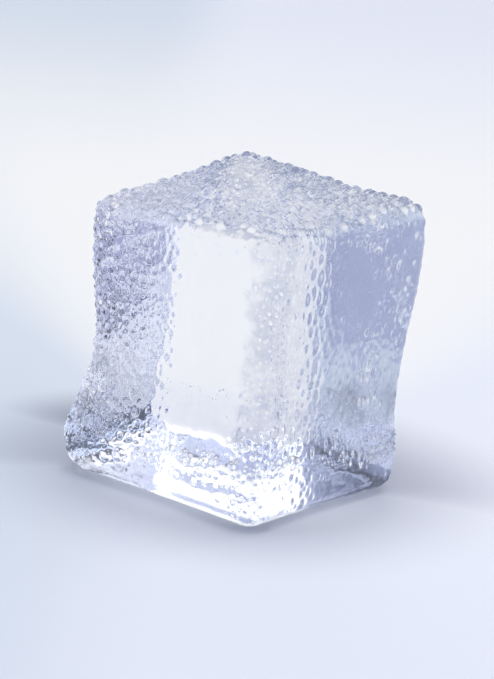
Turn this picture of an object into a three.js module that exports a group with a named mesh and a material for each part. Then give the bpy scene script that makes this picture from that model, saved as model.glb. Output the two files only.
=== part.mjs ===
// Clear ice cube from an ice machine: one solid, slightly melted and out of square.
//
// Frame: millimetres, +Z up. The cube stands on its flat underside at z = 0, with
// the middle of its footprint over the origin. Its side faces look along X and Y.
//
// The body starts as a rounded box. Its surface is then moved by a few smooth terms
// that give it what melting and handling leave on a real cube: side faces that are
// a little hollow or bulged and not quite parallel, a foot that spreads at one corner,
// a corner that is fuller near the top, a melted bevel along the bottom, and a top
// that lifts towards one corner.

import * as THREE from 'three';

// ---- driving dimensions (mm) ----
const WIDTH = 28;            // along X, before the corners spread
const DEPTH = 28;            // along Y
const HEIGHT = 34;           // along Z, before the top lifts

const R_SIDE = 3.0;          // radius of the upright edges
const R_TOP = 1.9;           // radius of the top rim
const R_BASE = 2.4;          // radius of the bottom rim

const HOLLOW = 0.55;         // how far the middles of the -X, +X and -Y faces sit back
const BACK_BULGE = 0.25;     // how far the middle of the +Y face stands out
const BACK_SKEW = 0.05;      // the +Y face stands out this much per mm towards -X
const LEFT_SKEW = 0.06;      // the -X face stands out this much per mm towards +Y
const MELT_WAVE = 0.22;      // slow unevenness of all faces

const FOOT_SPREAD = 2.1;     // the foot at the -X, -Y corner
const FOOT_TOP = 14.8;       // height where that edge starts to spread
const FOOT_TALL = 10.5;      // and how far below that it is fullest
const FOOT_POWER = 1.2;      // how gently the spread starts
const WAIST = 1.1;           // the same edge pulls in above its foot
const WAIST_Z = 15.0;
const WAIST_REACH = 6.5;

const HEAD_SPREAD = 1.3;     // the +X, +Y corner is fuller below the top rim
const HEAD_DROP = 6.0;       // depth of its fullest part below the top
const HEAD_REACH = 8.5;

const BEVEL_IN = 1.5;        // melted bevel along the bottom of the -Y face
const BEVEL_HEIGHT = 5.0;
const BEVEL_OTHERS = 0.4;    // share of that bevel on the other three faces

const TIP_SHIFT_X = 1.2;     // the bottom of the +X, -Y edge stands out
const TIP_SHIFT_Y = -1.9;
const TOE_RIGHT = 1.2;       // so does the bottom of the +X, +Y edge, along +X
const TOE_HEIGHT = 9.0;

const TOP_CROWN = 0.05;      // the top is a little higher in its middle
const LIFT_BACK = 2.4;       // lift of the top at the -X, +Y corner
const LIFT_RIGHT = 1.2;      // at the +X, +Y corner
const LIFT_LEFT = -1.2;      // at the -X, -Y corner
const LIFT_FRONT = 0.1;      // at the +X, -Y corner
const LEAN_BACK = 0.8;       // the lifted corner also leans out along +Y

// ---- mesh resolution ----
const N_ROUND = 4;           // steps across a rounded edge
const N_SIDE = 12;           // steps across a face, along X and Y
const N_HIGH = 16;           // steps up a face, along Z

const clamp = (v, lo, hi) => Math.min(Math.max(v, lo), hi);

// grid stations from lo to hi, closer together over the two rounded ends
function stations(lo, hi, rLo, rHi, nMiddle) {
  const out = [];
  for (let i = 0; i < N_ROUND; i++) out.push(lo + (rLo * i) / N_ROUND);
  const a = lo + rLo;
  const b = hi - rHi;
  for (let i = 0; i < nMiddle; i++) out.push(a + ((b - a) * i) / nMiddle);
  for (let i = 0; i <= N_ROUND; i++) out.push(b + (rHi * i) / N_ROUND);
  return out;
}

// a point of the plain box, pulled onto the rounded box; also the way out there
function roundedPoint(x, y, z) {
  const cx = clamp(x, -WIDTH / 2 + R_SIDE, WIDTH / 2 - R_SIDE);
  const cy = clamp(y, -DEPTH / 2 + R_SIDE, DEPTH / 2 - R_SIDE);
  const cz = clamp(z, R_BASE, HEIGHT - R_TOP);
  const rz = z > cz ? R_TOP : R_BASE;
  const out = new THREE.Vector3((x - cx) / R_SIDE, (y - cy) / R_SIDE, (z - cz) / rz);
  out.normalize();
  return {
    at: new THREE.Vector3(cx + out.x * R_SIDE, cy + out.y * R_SIDE, cz + out.z * rz),
    out,
  };
}

// slow unevenness of the melted faces, between about -1 and 1
function meltWave(x, y, z) {
  return (
    0.42 * Math.sin(0.31 * x + 0.17 * y + 0.23 * z + 0.6) +
    0.33 * Math.sin(-0.22 * x + 0.38 * y + 0.19 * z + 2.1) +
    0.25 * Math.sin(0.45 * x - 0.29 * y + 0.41 * z + 4.4)
  );
}

// the melted cube's surface
function meltedPoint(x, y, z) {
  const { at, out } = roundedPoint(x, y, z);
  const sx = at.x / (WIDTH / 2);
  const sy = at.y / (DEPTH / 2);
  const w = at.z / HEIGHT;
  const corner = (ax, ay) => Math.pow(0.25 * (1 + ax * sx) * (1 + ay * sy), 1.3);
  const bell = (z0, reach) => Math.exp(-(((at.z - z0) / reach) ** 2));

  // hollow side faces, and the two at the back bulged or out of square
  const bow = 4 * w * (1 - w);
  const tall = 1 - (2 * w - 1) ** 6;
  const atLeft = clamp(-sx, 0, 1) ** 3;
  const atFront = clamp(-sy, 0, 1) ** 3;
  const atBack = clamp(sy, 0, 1) ** 3;
  let dx = -HOLLOW * sx ** 3 * (1 - sy * sy) * bow;
  let dy = HOLLOW * atFront * (1 - sx * sx) * bow;
  let dz = 0;
  dy += atBack * BACK_BULGE * (1 - sx * sx) * bow;
  dy -= atBack * BACK_SKEW * (at.x - WIDTH / 2) * tall;
  dx -= atLeft * LEFT_SKEW * (at.y + DEPTH / 2) * tall;

  // foot and waist of the -X, -Y edge
  const spread = clamp((FOOT_TOP - at.z) / FOOT_TALL, 0, 1) ** FOOT_POWER;
  const foot = corner(-1, -1) * (FOOT_SPREAD * spread - WAIST * bell(WAIST_Z, WAIST_REACH));
  dx -= Math.SQRT1_2 * foot;
  dy -= Math.SQRT1_2 * foot;

  // fuller head of the +X, +Y edge
  const head = corner(1, 1) * HEAD_SPREAD * bell(HEIGHT - HEAD_DROP, HEAD_REACH);
  dx += Math.SQRT1_2 * head;
  dy += Math.SQRT1_2 * head;

  // the bottoms of the +X, +Y and the +X, -Y edges
  dx += TOE_RIGHT * corner(1, 1) * clamp(1 - at.z / TOE_HEIGHT, 0, 1);
  const tip = corner(1, -1) * (1 - w) ** 2;
  dx += TIP_SHIFT_X * tip;
  dy += TIP_SHIFT_Y * tip;

  // melted bevel along the bottom
  const low = clamp(1 - at.z / BEVEL_HEIGHT, 0, 1);
  dy += BEVEL_IN * low * atFront;
  dy -= BEVEL_OTHERS * BEVEL_IN * low * atBack;
  dx -= BEVEL_OTHERS * BEVEL_IN * low * clamp(sx, 0, 1) ** 3;
  dx += BEVEL_OTHERS * BEVEL_IN * low * atLeft;

  // crown and lifted corners of the top
  const high = clamp((at.z - (HEIGHT - 8)) / 8, 0, 1) ** 2;
  dz += high * TOP_CROWN * (1 - 0.5 * (sx * sx + sy * sy));
  dz += high * (LIFT_BACK * corner(-1, 1) + LIFT_RIGHT * corner(1, 1));
  dz += high * (LIFT_LEFT * corner(-1, -1) + LIFT_FRONT * corner(1, -1));
  dy += high * LEAN_BACK * corner(-1, 1);

  // unevenness, fading out so that the underside stays flat
  const wave = MELT_WAVE * meltWave(at.x, at.y, at.z) * clamp(at.z / 6, 0, 1);
  return new THREE.Vector3(
    at.x + dx + wave * out.x,
    at.y + dy + wave * out.y,
    at.z + dz + wave * out.z,
  );
}

function iceCubeGeometry() {
  const X = stations(-WIDTH / 2, WIDTH / 2, R_SIDE, R_SIDE, N_SIDE);
  const Y = stations(-DEPTH / 2, DEPTH / 2, R_SIDE, R_SIDE, N_SIDE);
  const Z = stations(0, HEIGHT, R_BASE, R_TOP, N_HIGH);
  const nx = X.length - 1;
  const ny = Y.length - 1;
  const nz = Z.length - 1;

  const positions = [];
  const index = [];
  const seen = new Map();
  const vertex = (i, j, k) => {
    const key = `${i},${j},${k}`;
    if (!seen.has(key)) {
      seen.set(key, positions.length / 3);
      const p = meltedPoint(X[i], Y[j], Z[k]);
      positions.push(p.x, p.y, p.z);
    }
    return seen.get(key);
  };
  // corners run anticlockwise seen from outside
  const quad = (a, b, c, d) => index.push(a, b, c, a, c, d);

  for (let j = 0; j < ny; j++) {
    for (let k = 0; k < nz; k++) {
      quad(vertex(0, j, k), vertex(0, j, k + 1), vertex(0, j + 1, k + 1), vertex(0, j + 1, k));
      quad(vertex(nx, j, k), vertex(nx, j + 1, k), vertex(nx, j + 1, k + 1), vertex(nx, j, k + 1));
    }
  }
  for (let i = 0; i < nx; i++) {
    for (let k = 0; k < nz; k++) {
      quad(vertex(i, 0, k), vertex(i + 1, 0, k), vertex(i + 1, 0, k + 1), vertex(i, 0, k + 1));
      quad(vertex(i, ny, k), vertex(i, ny, k + 1), vertex(i + 1, ny, k + 1), vertex(i + 1, ny, k));
    }
  }
  for (let i = 0; i < nx; i++) {
    for (let j = 0; j < ny; j++) {
      quad(vertex(i, j, 0), vertex(i, j + 1, 0), vertex(i + 1, j + 1, 0), vertex(i + 1, j, 0));
      quad(vertex(i, j, nz), vertex(i + 1, j, nz), vertex(i + 1, j + 1, nz), vertex(i, j + 1, nz));
    }
  }

  const geometry = new THREE.BufferGeometry();
  geometry.setAttribute('position', new THREE.Float32BufferAttribute(positions, 3));
  geometry.setIndex(index);

  // the spread corners put the footprint's middle off the grid's: move it over the origin
  geometry.computeBoundingBox();
  const box = geometry.boundingBox;
  geometry.translate(-(box.min.x + box.max.x) / 2, -(box.min.y + box.max.y) / 2, 0);
  geometry.computeVertexNormals();
  return geometry;
}

const ice = new THREE.MeshStandardMaterial({
  color: 0xd9dff0,
  roughness: 0.08,
  metalness: 0.0,
});

const iceCube = new THREE.Mesh(iceCubeGeometry(), ice);
iceCube.name = 'ice_cube';

const group = new THREE.Group();
group.add(iceCube);

export default group;
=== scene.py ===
import math
import bpy
import numpy as np
from mathutils import Matrix, Vector


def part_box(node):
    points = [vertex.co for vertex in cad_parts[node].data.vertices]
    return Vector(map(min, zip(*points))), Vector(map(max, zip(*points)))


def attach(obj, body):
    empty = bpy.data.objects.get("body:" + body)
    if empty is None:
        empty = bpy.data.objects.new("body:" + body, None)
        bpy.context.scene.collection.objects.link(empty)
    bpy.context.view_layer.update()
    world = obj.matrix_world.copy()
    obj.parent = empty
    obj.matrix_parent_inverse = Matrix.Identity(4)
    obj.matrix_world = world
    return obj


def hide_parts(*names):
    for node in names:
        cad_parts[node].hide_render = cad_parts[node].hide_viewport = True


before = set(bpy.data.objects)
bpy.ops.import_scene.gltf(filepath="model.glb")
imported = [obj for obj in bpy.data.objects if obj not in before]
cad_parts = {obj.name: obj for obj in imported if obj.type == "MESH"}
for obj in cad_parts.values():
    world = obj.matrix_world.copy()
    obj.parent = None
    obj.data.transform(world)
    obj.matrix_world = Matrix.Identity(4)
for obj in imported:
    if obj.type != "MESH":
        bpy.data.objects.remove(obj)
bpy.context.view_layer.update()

MM = 0.001
rng = np.random.default_rng(20)

# ---------------------------------------------------------------- shape (mm)
WIDTH, DEPTH, HEIGHT = 28.0, 28.0, 34.0
R_SIDE, R_TOP, R_BASE = 3.0, 1.9, 2.4
HOLLOW, MELT_WAVE = 0.55, 0.22
BACK_BULGE, BACK_SKEW, LEFT_SKEW = 0.25, 0.05, 0.06
FOOT_SPREAD, FOOT_TOP, FOOT_TALL, FOOT_POWER = 2.1, 14.8, 10.5, 1.2
WAIST, WAIST_Z, WAIST_REACH = 1.1, 15.0, 6.5
HEAD_SPREAD, HEAD_DROP, HEAD_REACH = 1.3, 6.0, 8.5
BEVEL_IN, BEVEL_HEIGHT, BEVEL_OTHERS = 1.5, 5.0, 0.4
TIP_SHIFT_X, TIP_SHIFT_Y = 1.2, -1.9
TOE_RIGHT, TOE_HEIGHT = 1.2, 9.0
TOP_CROWN, LEAN_BACK = 0.05, 0.8
LIFT_BACK, LIFT_RIGHT, LIFT_LEFT, LIFT_FRONT = 2.4, 1.2, -1.2, 0.1

STEP = 0.246                 # spacing of the fine surface's grid


def stations(lo, hi, r_lo, r_hi, step):
    n_lo = max(4, int(round(r_lo * 1.2 / step)))
    n_hi = max(4, int(round(r_hi * 1.2 / step)))
    n_mid = max(2, int(round((hi - lo - r_lo - r_hi) / step)))
    # equal angles over the rounded ends, so that the steps along the arc are even
    t_lo = np.tan(np.linspace(0, math.pi / 4, n_lo + 1))
    t_hi = np.tan(np.linspace(0, math.pi / 4, n_hi + 1))
    a = (lo + r_lo) - r_lo * t_lo[::-1]
    b = np.linspace(lo + r_lo, hi - r_hi, n_mid + 1)
    c = (hi - r_hi) + r_hi * t_hi
    return np.concatenate([a[:-1], b, c[1:]])


def box_grid(step):
    X = stations(-WIDTH / 2, WIDTH / 2, R_SIDE, R_SIDE, step)
    Y = stations(-DEPTH / 2, DEPTH / 2, R_SIDE, R_SIDE, step)
    Z = stations(0.0, HEIGHT, R_BASE, R_TOP, step)
    nx, ny, nz = len(X) - 1, len(Y) - 1, len(Z) - 1
    ids = -np.ones((nx + 1, ny + 1, nz + 1), dtype=np.int64)
    shell = np.zeros_like(ids, dtype=bool)
    shell[0], shell[-1] = True, True
    shell[:, 0], shell[:, -1] = True, True
    shell[:, :, 0], shell[:, :, -1] = True, True
    ids[shell] = np.arange(shell.sum())
    I, J, K = np.where(shell)
    pts = np.stack([X[I], Y[J], Z[K]], 1)
    quads = []

    def sheet(a):
        # a is a 2-D array of ids, turned so that its quads face out
        quads.append(np.stack([a[:-1, :-1], a[1:, :-1], a[1:, 1:], a[:-1, 1:]], -1).reshape(-1, 4))

    sheet(ids[0].T)            # -X
    sheet(ids[nx])             # +X
    sheet(ids[:, 0])           # -Y
    sheet(ids[:, ny].T)        # +Y
    sheet(ids[:, :, 0].T)      # underside
    sheet(ids[:, :, nz])       # top
    return pts, np.concatenate(quads)


def rounded(p):
    lo = np.array([-WIDTH / 2 + R_SIDE, -DEPTH / 2 + R_SIDE, R_BASE])
    hi = np.array([WIDTH / 2 - R_SIDE, DEPTH / 2 - R_SIDE, HEIGHT - R_TOP])
    core = np.clip(p, lo, hi)
    r = np.stack([np.full(len(p), R_SIDE), np.full(len(p), R_SIDE),
                  np.where(p[:, 2] > core[:, 2], R_TOP, R_BASE)], 1)
    out = (p - core) / r
    out /= np.maximum(np.linalg.norm(out, axis=1, keepdims=True), 1e-9)
    return core + out * r, out


def melt_wave(x, y, z):
    return (0.42 * np.sin(0.31 * x + 0.17 * y + 0.23 * z + 0.6)
            + 0.33 * np.sin(-0.22 * x + 0.38 * y + 0.19 * z + 2.1)
            + 0.25 * np.sin(0.45 * x - 0.29 * y + 0.41 * z + 4.4))


def melted(p):
    at, out = rounded(p)
    x, y, z = at.T
    sx, sy, w = x / (WIDTH / 2), y / (DEPTH / 2), z / HEIGHT

    def corner(ax, ay):
        return np.maximum(0.25 * (1 + ax * sx) * (1 + ay * sy), 0.0) ** 1.3

    def bell(z0, reach):
        return np.exp(-((z - z0) / reach) ** 2)

    bow = 4 * w * (1 - w)
    dx = -HOLLOW * sx ** 3 * (1 - sy ** 2) * bow
    back = np.clip(sy, 0, 1) ** 3
    dy = HOLLOW * np.clip(-sy, 0, 1) ** 3 * (1 - sx ** 2) * bow
    tall = 1 - (2 * w - 1) ** 6
    dy += back * (BACK_BULGE * (1 - sx ** 2) * bow - BACK_SKEW * (x - WIDTH / 2) * tall)
    dx -= np.clip(-sx, 0, 1) ** 3 * LEFT_SKEW * (y + DEPTH / 2) * tall
    s = math.sqrt(0.5)
    spread = np.clip((FOOT_TOP - z) / FOOT_TALL, 0, 1) ** FOOT_POWER
    foot = corner(-1, -1) * (FOOT_SPREAD * spread - WAIST * bell(WAIST_Z, WAIST_REACH))
    head = corner(1, 1) * HEAD_SPREAD * bell(HEIGHT - HEAD_DROP, HEAD_REACH)
    dx += s * (head - foot)
    dy += s * (head - foot)
    dx += TOE_RIGHT * corner(1, 1) * np.clip(1 - z / TOE_HEIGHT, 0, 1)
    tip = corner(1, -1) * (1 - w) ** 2
    dx += TIP_SHIFT_X * tip
    dy += TIP_SHIFT_Y * tip
    low = np.clip(1 - z / BEVEL_HEIGHT, 0, 1)
    dy += BEVEL_IN * low * np.clip(-sy, 0, 1) ** 3
    dy -= BEVEL_OTHERS * BEVEL_IN * low * np.clip(sy, 0, 1) ** 3
    dx -= BEVEL_OTHERS * BEVEL_IN * low * np.clip(sx, 0, 1) ** 3
    dx += BEVEL_OTHERS * BEVEL_IN * low * np.clip(-sx, 0, 1) ** 3
    high = np.clip((z - (HEIGHT - 8)) / 8, 0, 1) ** 2
    dz = high * (TOP_CROWN * (1 - 0.5 * (sx ** 2 + sy ** 2))
                 + LIFT_BACK * corner(-1, 1) + LIFT_RIGHT * corner(1, 1)
                 + LIFT_LEFT * corner(-1, -1) + LIFT_FRONT * corner(1, -1))
    dy += high * LEAN_BACK * corner(-1, 1)
    wave = MELT_WAVE * melt_wave(x, y, z) * np.clip(z / 6, 0, 1)
    q = np.stack([x + dx, y + dy, z + dz], 1) + wave[:, None] * out
    return q, out


def vertex_normals(p, quads):
    a, b, c, d = (p[quads[:, i]] for i in range(4))
    n = np.cross(c - a, d - b)
    out = np.zeros_like(p)
    for i in range(4):
        np.add.at(out, quads[:, i], n)
    return out / np.maximum(np.linalg.norm(out, axis=1, keepdims=True), 1e-12)


def waves(p, n, lo, hi, seed):
    """Smooth noise of about unit height: a sum of n plane waves of lengths lo to hi mm."""
    g = np.random.default_rng(seed)
    k = g.normal(size=(n, 3))
    k /= np.linalg.norm(k, axis=1, keepdims=True)
    k *= (2 * math.pi / np.exp(g.uniform(math.log(lo), math.log(hi), n)))[:, None]
    ph = g.uniform(0, 2 * math.pi, n)
    return np.sin(p @ k.T + ph).sum(1) * math.sqrt(2.0 / n)


class Cells:
    """Points in cells of 1 mm, to find the ones near a place."""

    def __init__(self, p):
        self.p = p
        self.key = {}
        ijk = np.floor(p).astype(int)
        order = np.lexsort(ijk.T)
        s = ijk[order]
        cut = np.where(np.any(np.diff(s, axis=0) != 0, axis=1))[0] + 1
        for part in np.split(order, cut):
            self.key[tuple(ijk[part[0]])] = part

    def near(self, q, r):
        lo, hi = np.floor(q - r).astype(int), np.floor(q + r).astype(int)
        found = [self.key[(i, j, k)]
                 for i in range(lo[0], hi[0] + 1) for j in range(lo[1], hi[1] + 1)
                 for k in range(lo[2], hi[2] + 1) if (i, j, k) in self.key]
        return np.concatenate(found) if found else np.zeros(0, int)


grid, quads = box_grid(STEP)
base, out = melted(grid)
normal = vertex_normals(base, quads)
print("fine grid", len(base), "vertices", 2 * len(quads), "triangles")

on_top = np.clip((out[:, 2] - 0.35) / 0.4, 0, 1)
under = np.clip((-out[:, 2] - 0.6) / 0.3, 0, 1)
face_x = out[:, 0] ** 2
face_y = out[:, 1] ** 2

# ---- the pebbled melt surface: where beads sit, how large, how proud and how drawn out
cells = Cells(base)


def ease(v, lo, hi):
    t = min(max((v - lo) / (hi - lo), 0.0), 1.0)
    return t * t * (3 - 2 * t)


def bead_rule(i):
    """At vertex i: chance of a bead, its least and greatest radius, height over radius, and length over width."""
    x, y, z = base[i]
    ox, oy, oz = out[i]
    if oz < -0.35:
        return 0.0, 0.3, 0.5, 0.3, 1.0
    if oz > 0.5:
        return 0.5 + 0.3 * ease(0.793 * y - 0.609 * x, -2.0, 9.0), 0.38, 0.84, 0.60, 1.0
    foot = ease(z, 2.2, 3.6)                       # the lowest band has melted smooth
    low = math.exp(-((z - 5.8) / 1.7) ** 2)        # above it lies a band of small beads
    if oy < -0.7:
        left = 1 - ease(x, -5.0, -2.0)
        edge = ease(x, 10.2, 11.8)
        high = ease(z, 29.5, 32.0)
        if low > 0.35 and edge < 0.5:
            return 0.9 * foot * low, 0.3, 0.55, 0.56, 1.0
        if left > 0.5:
            return 0.40 * foot, 0.33, 0.64, 0.56, 1.15
        if x < 1.2:
            return 0.34 * foot * (1 - ease(x, -2.0, 1.2)), 0.3, 0.46, 0.5, 1.2
        if edge > 0.5:
            return 0.9 * foot, 0.3, 0.46, 0.6, 1.6
        return 0.06 * foot * ease(x, 7.5, 10.0) + 0.5 * high, 0.3, 0.55, 0.35, 1.3
    if ox > 0.7:
        if low > 0.35:
            return 1.0 * foot * low, 0.3, 0.55, 0.55, 1.0
        if y < -10.5:
            return 0.9, 0.3, 0.46, 0.6, 1.6
        if y < -3.5:
            return 0.9, 0.34, 0.56, 0.42, 1.9
        return 0.4, 0.32, 0.6, 0.17, 1.5
    if oy > 0.7:
        if z < 5:
            return 0.8 * foot, 0.33, 0.55, 0.4, 1.0
        if z > 28 and x < 4:
            return 0.7, 0.34, 0.6, 0.5, 1.0
        return (0.0 if x < 1 else 0.12) * foot, 0.34, 0.62, 0.2, 1.3
    if ox < -0.7:
        if z > 28:
            return 0.7, 0.34, 0.6, 0.5, 1.0
        return 0.4 * foot * (1 - 0.9 * ease(y, 3.0, 8.0)), 0.34, 0.62, 0.3, 1.2
    return 0.7 * foot, 0.32, 0.55, 0.36, 1.5      # the upright edges


beads = []
accepted = {}


def try_beads(n, scale_lo, scale_hi, gap):
    picks = rng.integers(0, len(base), n)
    keep = rng.random(n)
    size = rng.random(n) ** 1.6
    drawn = rng.random(n)
    for i, kp, t, u in zip(picks, keep, size, drawn):
        chance, lo, hi, rise, long = bead_rule(i)
        if kp > chance:
            continue
        r = (lo + (hi - lo) * (scale_lo + (scale_hi - scale_lo) * t))
        long = 1 + (long - 1) * 1.6 * u
        c = base[i]
        cell = tuple(np.floor(c / 2.0).astype(int))
        clash = False
        for a in (-1, 0, 1):
            for b in (-1, 0, 1):
                for d in (-1, 0, 1):
                    for (q, rq, lq) in accepted.get((cell[0] + a, cell[1] + b, cell[2] + d), ()):
                        if ((q[0] - c[0]) ** 2 + (q[1] - c[1]) ** 2
                                + ((q[2] - c[2]) * 2 / (long + lq)) ** 2) < (gap * (r + rq)) ** 2:
                            clash = True
                            break
                    if clash:
                        break
                if clash:
                    break
            if clash:
                break
        if clash:
            continue
        accepted.setdefault(cell, []).append((c, r, long))
        beads.append((i, r, rise, long))


try_beads(4000, 0.6, 1.0, 0.92)
try_beads(14000, 0.15, 0.6, 0.9)
try_beads(20000, 0.0, 0.15, 0.88)
print("beads", len(beads))

relief = np.zeros(len(base))
for i, r, rise, long in beads:
    near = cells.near(base[i], r * long * 1.05)
    d = base[near] - base[i]
    if out[i][2] < 0.5:
        d = d * (1.0, 1.0, 1.0 / long)
    d = np.linalg.norm(d, axis=1)
    m = d < r
    if not m.any():
        continue
    h = r * rise
    big = min(max((r - 0.35) / 0.3, 0), 1)
    R = (r * r + h * h) / (2 * h)
    cap = np.sqrt(np.maximum(R * R - d[m] ** 2, 0)) - (R - h)
    soft = h * (1 - (d[m] / r) ** 2) ** 2
    idx = near[m]
    relief[idx] = np.maximum(relief[idx], big * cap + (1 - big) * soft)

dimples = 0.032 * waves(base, 40, 2.5, 7.0, 3) + 0.008 * waves(base, 60, 0.9, 2.2, 4)
# runnels: fine upright streaks down the sides
flatten = base * (1.0, 1.0, 0.12)
runnels = 0.010 * waves(flatten, 50, 0.9, 2.4, 5) * (1 - np.abs(out[:, 2])) * np.clip((base[:, 2] - 4) / 3, 0, 1)
calm = 1 - 0.7 * np.clip(out[:, 1], 0, 1)           # the back face has melted more evenly
dimples, runnels = dimples * calm, runnels * calm
calm_foot = 0.35 + 0.65 * np.clip((base[:, 2] - 3.0) / 2.5, 0, 1)    # nor does the lowest band ripple much
dimples, runnels = dimples * calm_foot, runnels * calm_foot
fade = np.clip(base[:, 2] / 1.2, 0, 1)
flat_under = (out[:, 2] < -0.999)
move = (relief + dimples + runnels) * np.where(flat_under, 0.0, 1.0) * fade
fine = base + normal * move[:, None]

# the CAD solid's footprint is centred over the origin; this one is laid on it
lo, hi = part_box("ice_cube")
lo, hi = np.array(lo) / MM, np.array(hi) / MM
mid = 0.5 * (base.min(0) + base.max(0))
fine[:, 0] += 0.5 * (lo[0] + hi[0]) - mid[0]
fine[:, 1] += 0.5 * (lo[1] + hi[1]) - mid[1]

mesh = bpy.data.meshes.new("ice")
mesh.vertices.add(len(fine))
mesh.vertices.foreach_set("co", (fine * MM).astype(np.float32).ravel())
mesh.loops.add(quads.size)
mesh.loops.foreach_set("vertex_index", quads.astype(np.int32).ravel())
mesh.polygons.add(len(quads))
mesh.polygons.foreach_set("loop_start", np.arange(0, quads.size, 4, dtype=np.int32))
mesh.polygons.foreach_set("loop_total", np.full(len(quads), 4, dtype=np.int32))
mesh.update(calc_edges=True)
mesh.validate()
mesh.shade_smooth()
ice = bpy.data.objects.new("ice", mesh)
bpy.context.scene.collection.objects.link(ice)

# ------------------------------------------------------------------ material
mat = bpy.data.materials.new("ice")
mat.use_nodes = True
nt = mat.node_tree
bsdf = nt.nodes["Principled BSDF"]
bsdf.inputs["Base Color"].default_value = (1, 1, 1, 1)
bsdf.inputs["Transmission Weight"].default_value = 1.0
bsdf.inputs["IOR"].default_value = 1.31
bsdf.inputs["Roughness"].default_value = 0.02

def node(kind, **inputs):
    n = nt.nodes.new(kind)
    for name, v in inputs.items():
        socket = n.inputs[name.replace("_", " ")]
        if isinstance(v, bpy.types.NodeSocket):
            nt.links.new(v, socket)
        else:
            socket.default_value = v
    return n


def sum_of(op, *v):
    n = nt.nodes.new("ShaderNodeMath")
    n.operation = op
    for i, x in enumerate(v):
        if isinstance(x, bpy.types.NodeSocket):
            nt.links.new(x, n.inputs[i])
        else:
            n.inputs[i].default_value = x
    return n.outputs[0]


def ramp_between(v, lo, hi, a=0.0, b=1.0):
    n = node("ShaderNodeMapRange", Value=v, From_Min=lo, From_Max=hi, To_Min=a, To_Max=b)
    n.interpolation_type = "SMOOTHSTEP"
    return n.outputs["Result"]


# finest droplets, in the wet places between the modelled beads, and a slight unevenness everywhere
place = nt.nodes.new("ShaderNodeTexCoord").outputs["Object"]
cut = nt.nodes.new("ShaderNodeSeparateXYZ")
nt.links.new(place, cut.inputs[0])
facing = nt.nodes.new("ShaderNodeSeparateXYZ")
nt.links.new(nt.nodes.new("ShaderNodeNewGeometry").outputs["Normal"], facing.inputs[0])
drops = node("ShaderNodeTexVoronoi", Vector=place, Scale=1500.0, Randomness=1.0)
drops.feature = "F1"
dome = ramp_between(drops.outputs["Distance"], 0.10, 0.46, 1.0, 0.0)
some = node("ShaderNodeTexNoise", Vector=place, Scale=420.0, Detail=2.0)
x_mm, y_mm, z_mm = [sum_of("MULTIPLY", cut.outputs[k], 1000.0) for k in "XYZ"]
wet_top = sum_of("MULTIPLY", ramp_between(sum_of("ABSOLUTE", facing.outputs["Z"]), 0.5, 0.8),
                 ramp_between(z_mm, 24.0, 28.0))
band = sum_of("MULTIPLY", ramp_between(z_mm, 3.4, 5.0), ramp_between(z_mm, 9.0, 7.2))
left = ramp_between(x_mm, 0.0, -4.0)
front = ramp_between(y_mm, -7.0, -10.0)
wet = sum_of("MAXIMUM", sum_of("MAXIMUM", wet_top, band), sum_of("MULTIPLY", left, front))
ragged = sum_of("MULTIPLY_ADD", some.outputs[0], 6.0, -3.0)
edge_x = ramp_between(sum_of("ADD", x_mm, ragged), 10.2, 13.2)
edge_y = ramp_between(y_mm, -8.5, -11.0)
wet = sum_of("MAXIMUM", wet, sum_of("MULTIPLY", edge_x, edge_y))
wet = sum_of("MULTIPLY", wet, ramp_between(some.outputs[0], 0.45, 0.6))
uneven = node("ShaderNodeTexNoise", Vector=place, Scale=900.0, Detail=3.0, Roughness=0.6)
ripple = sum_of("MULTIPLY", uneven.outputs[0], ramp_between(z_mm, 3.0, 5.5, 0.04, 0.12))
height = sum_of("ADD", sum_of("MULTIPLY", dome, wet), ripple)
bump = node("ShaderNodeBump", Height=height, Strength=1.0, Distance=0.00012)
nt.links.new(bump.outputs["Normal"], bsdf.inputs["Normal"])
# painted shade in the base colour, standing in for the shading round the rims of droplets too fine to model: most
# on the top and the front edge, a little down the right face
right = sum_of("MAXIMUM", ramp_between(y_mm, 0.0, -4.0, 0.25, 0.5), ramp_between(z_mm, 18.0, 12.0, 0.25, 0.55))
right = sum_of("MULTIPLY", ramp_between(x_mm, 11.5, 13.0), right)
edges = sum_of("MULTIPLY", sum_of("MULTIPLY", edge_x, edge_y), 0.7)
to_left = sum_of("MULTIPLY_ADD", y_mm, -0.609, sum_of("MULTIPLY", x_mm, -0.793))
to_back = sum_of("MULTIPLY_ADD", y_mm, 0.793, sum_of("MULTIPLY", x_mm, -0.609))
share = sum_of("MULTIPLY", ramp_between(to_left, 1.0, 14.0, 1.0, 0.5), ramp_between(to_back, -6.0, 8.0, 0.88, 1.0))
where = sum_of("MAXIMUM", sum_of("MAXIMUM", sum_of("MULTIPLY", wet_top, share), edges), right)
rim = sum_of("MULTIPLY", ramp_between(drops.outputs["Distance"], 0.08, 0.5),
             ramp_between(some.outputs[0], 0.38, 0.62, 0.6, 1.0))
# how strongly the painted rim shade darkens the base colour here
painted_rim_shade = sum_of("MULTIPLY", where, sum_of("MULTIPLY_ADD", rim, 0.88, ramp_between(to_back, 5.0, 15.0, 0.12, 0.32)))
shade = nt.nodes.new("ShaderNodeMix")
shade.data_type = "RGBA"
nt.links.new(painted_rim_shade, shade.inputs[0])
shade.inputs[6].default_value = (1, 1, 1, 1)
shade.inputs[7].default_value = (0.36, 0.41, 0.55, 1)
nt.links.new(shade.outputs[2], bsdf.inputs["Base Color"])
rough = ramp_between(uneven.outputs[0], 0.3, 0.7, 0.01, 0.05)
rough = sum_of("MAXIMUM", rough, ramp_between(z_mm, 4.6, 3.0, 0.0, 0.12))    # the bevel is a little dull
nt.links.new(rough, bsdf.inputs["Roughness"])
absorb = nt.nodes.new("ShaderNodeVolumeAbsorption")
absorb.inputs["Color"].default_value = (0.84, 0.88, 1.0, 1)
absorb.inputs["Density"].default_value = 8.0
nt.links.new(absorb.outputs["Volume"], nt.nodes["Material Output"].inputs["Volume"])
mesh.materials.append(mat)

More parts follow.
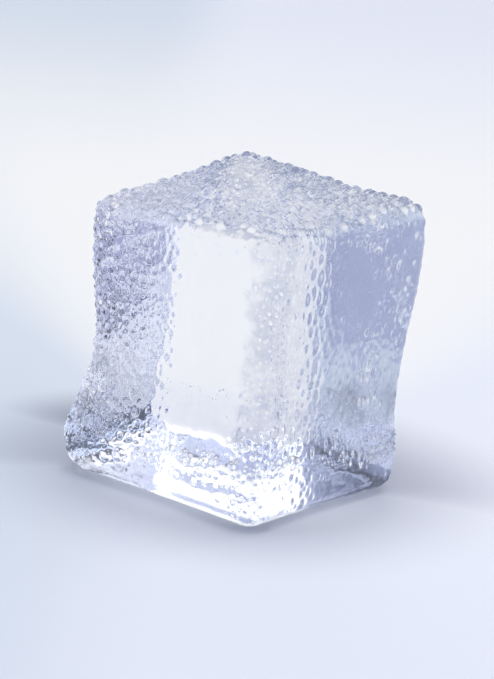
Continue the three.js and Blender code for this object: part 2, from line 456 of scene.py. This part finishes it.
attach(ice, "root")
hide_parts("ice_cube")

# --------------------------------------------------------------------- stage
def plane(name, size, z):
    m = bpy.data.meshes.new(name)
    s = size / 2
    m.from_pydata([(-s, -s, z), (s, -s, z), (s, s, z), (-s, s, z)], [], [(0, 1, 2, 3)])
    o = bpy.data.objects.new(name, m)
    bpy.context.scene.collection.objects.link(o)
    return o


class Nodes:
    """Short names for building a node tree."""

    def __init__(self, tree):
        self.t = tree

    def put(self, socket, v):
        if isinstance(v, bpy.types.NodeSocket):
            self.t.links.new(v, socket)
        else:
            socket.default_value = v

    def math(self, op, *v):
        n = self.t.nodes.new("ShaderNodeMath")
        n.operation = op
        for i, x in enumerate(v):
            self.put(n.inputs[i], x)
        return n.outputs[0]

    def step(self, v, lo, hi, a=0.0, b=1.0):
        n = self.t.nodes.new("ShaderNodeMapRange")
        n.interpolation_type = "SMOOTHSTEP"
        for name, x in (("Value", v), ("From Min", lo), ("From Max", hi), ("To Min", a), ("To Max", b)):
            self.put(n.inputs[name], x)
        return n.outputs["Result"]

    def mix(self, f, a, b):
        n = self.t.nodes.new("ShaderNodeMix")
        n.data_type = "RGBA"
        self.put(n.inputs[0], f)
        self.put(n.inputs[6], (*a, 1) if isinstance(a, tuple) else a)
        self.put(n.inputs[7], (*b, 1) if isinstance(b, tuple) else b)
        return n.outputs[2]

    def split(self, v):
        n = self.t.nodes.new("ShaderNodeSeparateXYZ")
        self.put(n.inputs[0], v)
        return n.outputs

    def length(self, x, y):
        s = self.math("ADD", self.math("MULTIPLY", x, x), self.math("MULTIPLY", y, y))
        return self.math("SQRT", self.math("MAXIMUM", s, 1e-12))

    def towards(self, hx, hy, azimuth, full, gone):
        """1 within full degrees of an azimuth, 0 past gone degrees; hx, hy is a level direction of length 1."""
        a = math.radians(azimuth)
        c = self.math("ADD", self.math("MULTIPLY", hx, math.cos(a)), self.math("MULTIPLY", hy, math.sin(a)))
        return self.step(c, math.cos(math.radians(gone)), math.cos(math.radians(full)))

    def vector(self, op, a, b, socket=0):
        n = self.t.nodes.new("ShaderNodeVectorMath")
        n.operation = op
        self.put(n.inputs[0], a)
        self.put(n.inputs["Scale"] if op == "SCALE" else n.inputs[1], b)
        return n.outputs[0]

    def add(self, a, b):
        return self.vector("ADD", a, b)

    def scaled(self, colour, f):
        return self.vector("SCALE", colour, f)


# A plain pale floor in a small white studio, with light and shade painted into the floor's colour.  Clear ice
# shows its surroundings, so the soft panels stand behind the cube and high on its other side, and the floor and
# walls go lavender out to the two sides; on the floor that lavender is painted shade.
FLOOR_WHITE = (0.845, 0.86, 0.905)
FLOOR_PALE = (0.69, 0.75, 0.80)            # its left half falls off a little, a painted falloff of light
FLOOR_PAINTED_POOL = (0.955, 0.935, 0.88)          # painted pool of light: a little lighter and warmer behind the cube
# painted shade out to the cube's two sides
FLOOR_LEFT = (0.44, 0.47, 0.605)
FLOOR_RIGHT = (0.40, 0.41, 0.57)
FLOOR_SHADE = (0.15, 0.165, 0.25)          # painted contact shadow close around the cube
AMBIENT = (0.08, 0.09, 0.13)
HAZE = (0.46, 0.50, 0.61)                  # pale again low down, all round
# azimuth and how far to either side a panel is full and gone; elevations where it starts, is full, is full, ends
PANELS = [
    ((297, 50, 115), (-91, -90, 50, 70), (0.27, 0.32, 0.48)),
    ((122, 12, 62), (-6, 0, 9, 15), (1.05, 1.03, 0.98)),
    ((124, 14, 80), (10, 16, 29, 34), (1.55, 1.53, 1.42)),
    ((52, 22, 50), (10, 16, 26, 33), (0.65, 0.75, 1.0)),
    ((338, 20, 55), (23, 32, 60, 74), (0.75, 0.74, 0.77)),
    ((67, 12, 32), (38, 46, 60, 68), (0.95, 0.94, 0.98)),
    ((97, 12, 28), (30, 36, 56, 64), (0.45, 0.5, 0.6)),
    ((307, 45, 90), (58, 66, 90, 91), (0.75, 0.75, 0.65)),
    ((0, 181, 182), (74, 80, 90, 91), (0.9, 0.9, 0.9)),
]

floor = plane("floor", 8.0, -0.00005)
fm = bpy.data.materials.new("floor")
fm.use_nodes = True
n = Nodes(fm.node_tree)
fb = fm.node_tree.nodes["Principled BSDF"]
fb.inputs["Roughness"].default_value = 0.6
fb.inputs["Specular IOR Level"].default_value = 0.2
geo = fm.node_tree.nodes.new("ShaderNodeNewGeometry")
px, py, _ = n.split(geo.outputs["Position"])
r = n.length(px, py)
hx, hy = n.math("DIVIDE", px, r), n.math("DIVIDE", py, r)


def floor_tone(n, x, y):
    """White along a band that runs past the cube, lavender out to its two sides; metres."""
    c, k = math.cos(math.radians(37.5)), math.sin(math.radians(37.5))
    across = n.math("ADD", n.math("MULTIPLY", x, c), n.math("MULTIPLY", y, k))
    along = n.math("SUBTRACT", n.math("MULTIPLY", y, c), n.math("MULTIPLY", x, k))
    reach = n.math("ADD", along, n.math("MULTIPLY", n.math("ABSOLUTE", across), 0.45))
    behind = n.step(reach, -0.02, 0.03)
    left = n.math("MULTIPLY", n.math("ADD", across, n.math("MULTIPLY", along, 0.09)), -1.0)
    right = n.math("SUBTRACT", across, n.math("MULTIPLY", along, 0.30))
    tone = n.mix(n.step(across, -0.004, -0.030), FLOOR_WHITE, FLOOR_PALE)
    tone = n.mix(n.math("MULTIPLY", behind, n.step(left, 0.033, 0.062)), tone, FLOOR_LEFT)
    return n.mix(n.math("MULTIPLY", behind, n.step(right, 0.033, 0.100)), tone, FLOOR_RIGHT)


tone = floor_tone(n, px, py)
# painted pool of light on the floor behind the cube, fainter close to it
back = n.math("MULTIPLY", n.towards(hx, hy, 127, 10, 30), n.step(r, 0.40, 0.14))
tone = n.mix(n.math("MULTIPLY", back, n.step(r, 0.020, 0.055, 0.35, 1.0)), tone, FLOOR_PAINTED_POOL)
# painted soft contact shadow round the foot, longest back along the cube's two hidden sides
shade = n.step(r, 0.017, 0.036, 0.26, 0.0)
for az, full, gone, r0, r1, much in ((184, 26, 50, 0.0215, 0.040, 0.40), (158, 14, 34, 0.026, 0.040, 0.70),
                                     (70, 20, 48, 0.020, 0.042, 0.48)):
    side = n.math("MULTIPLY", n.towards(hx, hy, az, full, gone), n.step(r, r0, r1, much, 0.0))
    shade = n.math("MAXIMUM", shade, side)
shade = n.math("MULTIPLY", shade, n.math("SUBTRACT", 1.0, n.towards(hx, hy, 125, 8, 26)))
shade = n.math("MULTIPLY", shade, n.step(r, 0.0125, 0.0195))
n.put(fb.inputs["Base Color"], n.mix(shade, tone, FLOOR_SHADE))
# far away the floor fades into the studio's own colour, so that no edge or horizon shows
clear = fm.node_tree.nodes.new("ShaderNodeBsdfTransparent")
mix = fm.node_tree.nodes.new("ShaderNodeMixShader")
n.put(mix.inputs[0], n.step(r, 0.30, 1.4))
n.put(mix.inputs[1], fb.outputs[0])
n.put(mix.inputs[2], clear.outputs[0])
n.put(fm.node_tree.nodes["Material Output"].inputs["Surface"], mix.outputs[0])
floor.data.materials.append(fm)

world = bpy.data.worlds.new("studio")
bpy.context.scene.world = world
world.use_nodes = True
n = Nodes(world.node_tree)
tc = world.node_tree.nodes.new("ShaderNodeTexCoord")
dx, dy, dz = n.split(tc.outputs["Generated"])
h = n.length(dx, dy)
hx, hy = n.math("DIVIDE", dx, h), n.math("DIVIDE", dy, h)
light = n.mix(n.step(dz, -0.07, -0.01), floor_tone(n, hx, hy), HAZE)     # below the level, the far floor
low = n.math("MULTIPLY", n.step(dz, 0.24, 0.08), n.math("SUBTRACT", 1.0, n.math("MULTIPLY", n.towards(hx, hy, 52, 32, 64), n.step(dz, -0.04, 0.02))))
light = n.mix(low, AMBIENT, light)
for (az, full, gone), (a0, a1, b1, b0), colour in PANELS:
    s = [math.sin(math.radians(e)) for e in (a0, a1, b1, b0)]
    f = n.towards(hx, hy, az, full, gone) if full < 180 else 1.0
    if a0 > -90:
        f = n.math("MULTIPLY", f, n.step(dz, s[0], s[1]))
    else:
        f = n.math("MULTIPLY", f, n.step(dz, -0.03, 0.03))
    if b0 < 91:
        f = n.math("MULTIPLY", f, n.step(dz, s[3], s[2]))
    light = n.add(light, n.scaled(colour, f))
n.put(world.node_tree.nodes["Background"].inputs["Color"], light)

# an overhead fill
fill = bpy.data.lights.new("fill", "AREA")
fill.shape = "DISK"
fill.size = 0.7
fill.energy = 3.2
lamp = bpy.data.objects.new("fill", fill)
lamp.location = (0.0, 0.0, 0.9)
lamp.visible_glossy = False
lamp.visible_camera = False
bpy.context.scene.collection.objects.link(lamp)

# -------------------------------------------------------------------- camera
AZ, EL, ROLL = math.radians(37.5), math.radians(14.9), math.radians(5.5)
DIST, F_PX = 0.328, 2800.0
target = Vector((0.0004, 0.0, 0.0172))
back = Vector((math.sin(AZ) * math.cos(EL), -math.cos(AZ) * math.cos(EL), math.sin(EL)))
cam_data = bpy.data.cameras.new("camera")
cam_data.sensor_fit = "VERTICAL"
cam_data.sensor_height = 36.0
cam_data.sensor_width = 36.0
cam_data.lens = 36.0 * F_PX / 679.0
cam_data.clip_start = 0.01
cam = bpy.data.objects.new("camera", cam_data)
bpy.context.scene.collection.objects.link(cam)
rot = back.to_track_quat("Z", "Y").to_matrix().to_4x4()
cam.matrix_world = Matrix.Translation(target + back * DIST) @ rot @ Matrix.Rotation(ROLL, 4, "Z")
bpy.context.scene.camera = cam

sc = bpy.context.scene
sc.view_settings.view_transform = "Standard"
sc.cycles.use_denoising = True
sc.cycles.use_adaptive_sampling = False
sc.cycles.max_bounces = 24
sc.cycles.transmission_bounces = 20
sc.cycles.glossy_bounces = 12
sc.cycles.caustics_refractive = True
sc.cycles.caustics_reflective = True
